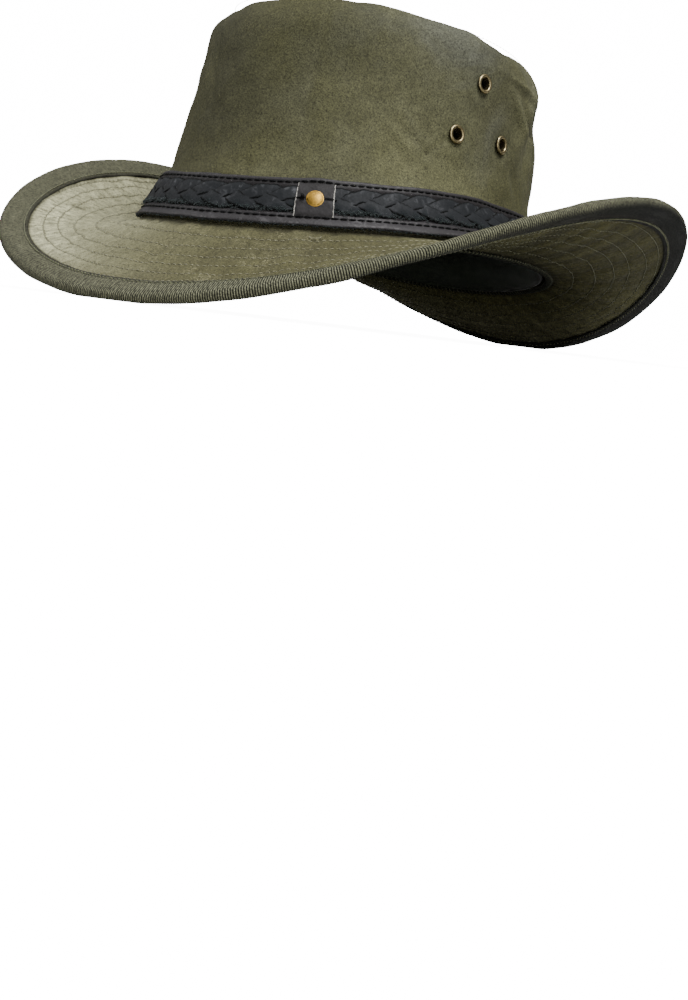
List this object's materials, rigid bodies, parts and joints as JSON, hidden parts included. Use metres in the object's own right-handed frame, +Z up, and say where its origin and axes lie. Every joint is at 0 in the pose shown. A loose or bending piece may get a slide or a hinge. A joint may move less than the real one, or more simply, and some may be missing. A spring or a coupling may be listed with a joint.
{
  "type": "waxed cotton bush hat",
  "caption": "Waxed cotton hat with a rounded crown, a brim curled up at both sides with a taped edge, a braided leather band fastened by a stud, and vent eyelets in the crown",
  "frame": {"origin": "the centre of the bounding box's base, on the floor that the brim rests on", "axes": "+Z up; the front of the hat faces -Y; the wearer's left is +X"},
  "size_m": [0.315, 0.3499, 0.147],
  "materials": {
    "waxed_cotton": "waxed, mottled olive",
    "ribbed_tape": "ribbed, matt",
    "sweatband_cloth": "smooth satin weave",
    "black_leather": "smooth, lightly worn",
    "plaited_leather": "scuffed, fuzzy edges",
    "stud_brass": "satin",
    "aged_brass": "darkened, rubbed"
  },
  "bodies": {
    "root": {"crown_side": "waxed_cotton", "crown_tip": "waxed_cotton", "brim": "waxed_cotton", "brim_binding": "ribbed_tape", "opening_tape": "ribbed_tape", "sweatband": "sweatband_cloth", "band_strap": "black_leather", "band_braid": "plaited_leather", "band_keeper": "black_leather", "band_stud": "stud_brass", "eyelet_left_front": "aged_brass", "eyelet_left_top": "aged_brass", "eyelet_left_back": "aged_brass", "eyelet_right_front": "aged_brass", "eyelet_right_top": "aged_brass", "eyelet_right_back": "aged_brass"}
  },
  "joints": []
}
